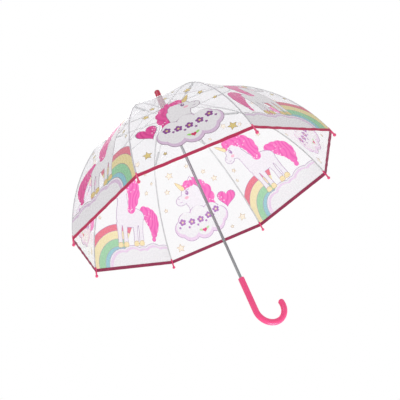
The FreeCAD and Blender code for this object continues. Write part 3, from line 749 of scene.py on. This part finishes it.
# The inner slot takes a darker copy of the binding: painted shade on the face inside the dome.
OUTER, INNER_SHADED, THREAD = 0, 1, 2  # slots of the binding's materials
# One stitch, in millimetres from its middle, and the slim double pyramid between its points.
STITCH = ((-1.15, 0, 0), (1.15, 0, 0), (0, -0.24, 0), (0, 0.24, 0), (0, 0, -0.2), (0, 0, 0.26))
STITCH_FACES = ((0, 2, 5), (2, 1, 5), (1, 3, 5), (3, 0, 5), (2, 0, 4), (1, 2, 4), (3, 1, 4), (0, 3, 4))
STITCH_PITCH = 0.0032
STITCH_LEVEL = 0.75  # share of the binding's width
STITCH_HEIGHT = 1.02  # share of half the binding's thickness
STITCH_FREE = 0.002  # length without stitches at the corner


def make_hem(panel, side, materials):
    """The binding folded over the hem's edge, with a row of stitches on each face."""
    sign = -1 if side == "left" else 1
    wide = float(canopy.half_width(0.0)) - TIP_ROOM
    stations = np.linspace(0, wide, BINDING_STEPS)
    # points are (across, up the film, off the film, straight down below the film's edge)
    points, cuts, faces, slots = [], [], [], []
    for i, x in enumerate(stations):
        swell = 1 + BINDING_SWELL * math.sin(x * 2 * math.pi / BINDING_WAVE + panel)
        for up, thick in BINDING:
            place = up * HEM_WIDTH
            lift = thick * HEM_THICK / 2 * swell
            points.append((sign * x, max(place, 0.0), lift, min(place, 0.0)))
            cuts.append((sign * x, place, lift))
    around = len(BINDING)
    for i in range(len(stations) - 1):
        for j in range(around):
            a, b = i * around + j, i * around + (j + 1) % around
            faces.append((a, b, b + around, a + around)[::-sign])
            slots.append(OUTER if j < around // 2 else INNER_SHADED)
    last = (len(stations) - 1) * around
    faces += [tuple(range(around))[::sign], tuple(range(last, last + around))[::-sign]]
    slots += [OUTER, OUTER]
    for face in (-1, 1):
        level = face * HEM_THICK / 2 * STITCH_HEIGHT
        for x in np.arange(STITCH_PITCH / 2, wide - STITCH_FREE, STITCH_PITCH):
            first = len(points)
            for dx, dy, dz in STITCH:
                place = (sign * (x + dx * MM), STITCH_LEVEL * HEM_WIDTH + dy * MM)
                points.append((*place, level + dz * MM, 0.0))
                cuts.append((*place, 0))
            for a, b, c in STITCH_FACES:
                faces.append((first + a, first + b, first + c)[::sign])
                slots.append(THREAD)
    data = np.array(points)
    where = canopy.points(data[:, 0], data[:, 1], panel, data[:, 2])
    where[:, 2] += data[:, 3]
    made = mesh_object("hem_%d_%s" % (panel, side), turned(where, panel), faces, materials, slots, cuts)
    fold(made, panel, side, data[:, 0], data[:, 1])
    return made


def make_canopy():
    """Both prints are cut once and used on every other panel."""
    inks = make_print_materials()
    # The binding's inside copy is painted darker than its outside copy, as shade inside the dome.
    hem = [weave("binding_outside", "a01444", "cc2458"), weave("binding_inside_shaded", "781c40", "9c2850"),
           mottled("thread", "a83058", "c04c74", 900, (0.5, 0.7), cut=True)]
    cuts = {"odd": cut_panel(rainbow_pony()), "even": cut_panel(cloud_pony())}
    for panel in range(1, PANELS + 1):
        for side in ("left", "right"):
            make_half(panel, side, cuts["odd" if panel % 2 else "even"], inks, hem)


# ---------------------------------------------------------------- the CAD nodes' finishes
def paint_nodes():
    """A finish for each start of a node's name. The panels' nodes need none, as the film replaces them."""
    steel = mottled("satin_steel", "8a8b8e", "aeafb2", 1.0, (0.26, 0.36), 1.0, (260, 260, 12),
                    relief=0.00001)
    rib_steel = mottled("rib_steel", "c6c8c8", "e2e4e4", 140, (0.34, 0.48), 0.75, relief=0.00002)
    bright = mottled("rivet_steel", "98999c", "c4c5c8", 400, (0.18, 0.3), 1.0)
    pink = mottled("pink_plastic", "f04480", "f64c88", 18, (0.26, 0.34), relief=0.000006, coat=0.15)
    tips = mottled("tip_plastic", "dc3a70", "ec5484", 90, (0.2, 0.3), relief=0.00002, coat=0.3)
    crimson = mottled("crimson_plastic", "b0183e", "be2248", 60, (0.24, 0.32), relief=0.000006, coat=0.2)
    hub = mottled("hub_plastic", "b98a98", "cfa3b0", 80, (0.3, 0.42), relief=0.00003)
    finishes = [("shaft", steel), ("rib_tip_", tips), ("rib_", rib_steel), ("stretcher_", rib_steel),
                ("joint_rivet_", bright), ("handle", pink), ("finial", crimson), ("crown_ring", bright),
                ("runner_ring", bright), ("crown", hub), ("runner", hub), ("film_washer", hub),
                ("stop_pin", bright), ("top_catch", bright), ("bottom_catch", bright)]
    for name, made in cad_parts.items():
        finish = next((m for word, m in finishes if name.startswith(word)), None)
        if finish is None:
            continue
        for slot in made.material_slots:
            slot.material = finish


make_camera()
make_stage()
make_canopy()
paint_nodes()
